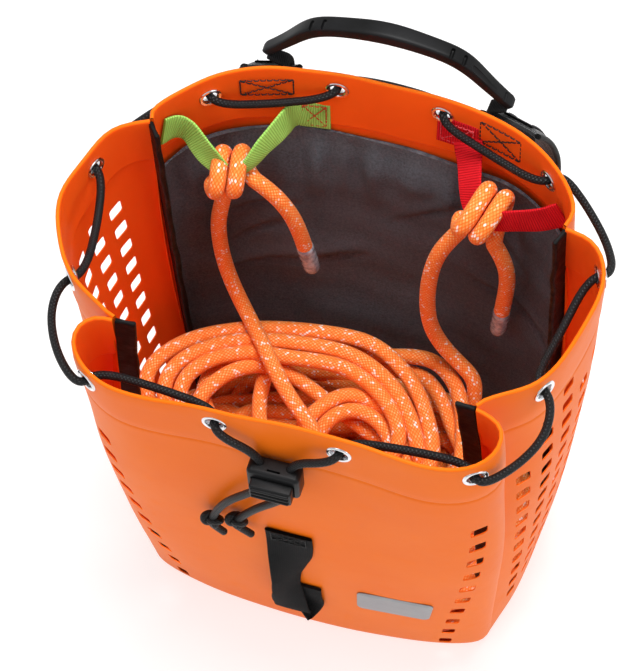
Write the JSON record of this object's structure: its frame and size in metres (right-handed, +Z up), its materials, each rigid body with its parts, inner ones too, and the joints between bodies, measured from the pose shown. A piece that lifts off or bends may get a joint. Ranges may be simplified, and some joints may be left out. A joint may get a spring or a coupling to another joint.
{
  "type": "throw rope bag",
  "caption": "Open-mouthed rope bucket bag with a drawcord rim, padded back, tie-in loops, carrying handle, shoulder straps and a floating rope tied in at both ends.",
  "frame": {"origin": "centre of the base's underside, on the surface that the bag stands on", "axes": "+X to the bag's right as its front is seen, +Y from the front wall to the padded back, +Z up"},
  "size_m": [0.3218, 0.27, 0.4075],
  "materials": {
    "orange_tarpaulin": "coated polyester tarpaulin, satin",
    "black_binding": "folded binding tape",
    "grey_lining": "dark woven lining over foam",
    "pad_foam": "closed-cell foam",
    "eyelet_metal": "nickel-plated",
    "black_cord": "braided sheath",
    "black_plastic": "moulded, fine texture",
    "spring_steel": "music wire",
    "green_webbing": "woven webbing",
    "red_webbing": "woven webbing",
    "black_webbing": "woven webbing",
    "reflective_silver": "retro-reflective film",
    "orange_rope": "braided sheath with pale flecks",
    "clear_sleeve": "clear shrink sleeve"
  },
  "bodies": {
    "bag": {"back_left_seam_tape": "black_binding", "back_lining": "grey_lining", "back_pad": "pad_foam", "back_panel": "orange_tarpaulin", "back_right_seam_tape": "black_binding", "base_panel": "orange_tarpaulin", "cord_lock_body": "black_plastic", "cord_lock_spring": "spring_steel", "drawcord": "black_cord", "drawcord_end_knots": "black_cord", "eyelet_washers": "eyelet_metal", "eyelets": "eyelet_metal", "front_gear_loop": "black_webbing", "front_left_seam_tape": "black_binding", "front_panel": "orange_tarpaulin", "front_right_seam_tape": "black_binding", "green_tie_loop": "green_webbing", "handle_anchor_left": "black_webbing", "handle_anchor_right": "black_webbing", "left_anchor_patch": "black_webbing", "left_lower_strap": "black_webbing", "left_shoulder_strap": "black_webbing", "left_side_panel": "orange_tarpaulin", "left_strap_buckle": "black_plastic", "red_tie_loop": "red_webbing", "reflective_patch": "reflective_silver", "right_anchor_patch": "black_webbing", "right_lower_strap": "black_webbing", "right_shoulder_strap": "black_webbing", "right_side_panel": "orange_tarpaulin", "right_strap_buckle": "black_plastic", "rope_knot_left": "orange_rope", "rope_knot_right": "orange_rope", "rope_lead_left": "orange_rope", "rope_lead_right": "orange_rope", "rope_pile": "orange_rope", "rope_sleeve_left": "clear_sleeve", "rope_sleeve_right": "clear_sleeve", "rope_tail_left": "orange_rope", "rope_tail_right": "orange_rope"},
    "handle": {"handle_grip": "black_plastic", "handle_webbing": "black_webbing"},
    "lock_button": {"cord_lock_button": "black_plastic"}
  },
  "joints": [
    {"name": "handle_swing", "type": "hinge", "parent": "bag", "child": "handle", "pos_m": [0, 0.117, 0.358], "axis": [1, 0, 0], "range_deg": [-80, 50]},
    {"name": "lock_button_press", "type": "slide", "parent": "bag", "child": "lock_button", "axis": [0, 1, 0], "range_m": [0, 0.0035], "stiffness_N_per_m": 900, "springref_m": -0.002}
  ]
}
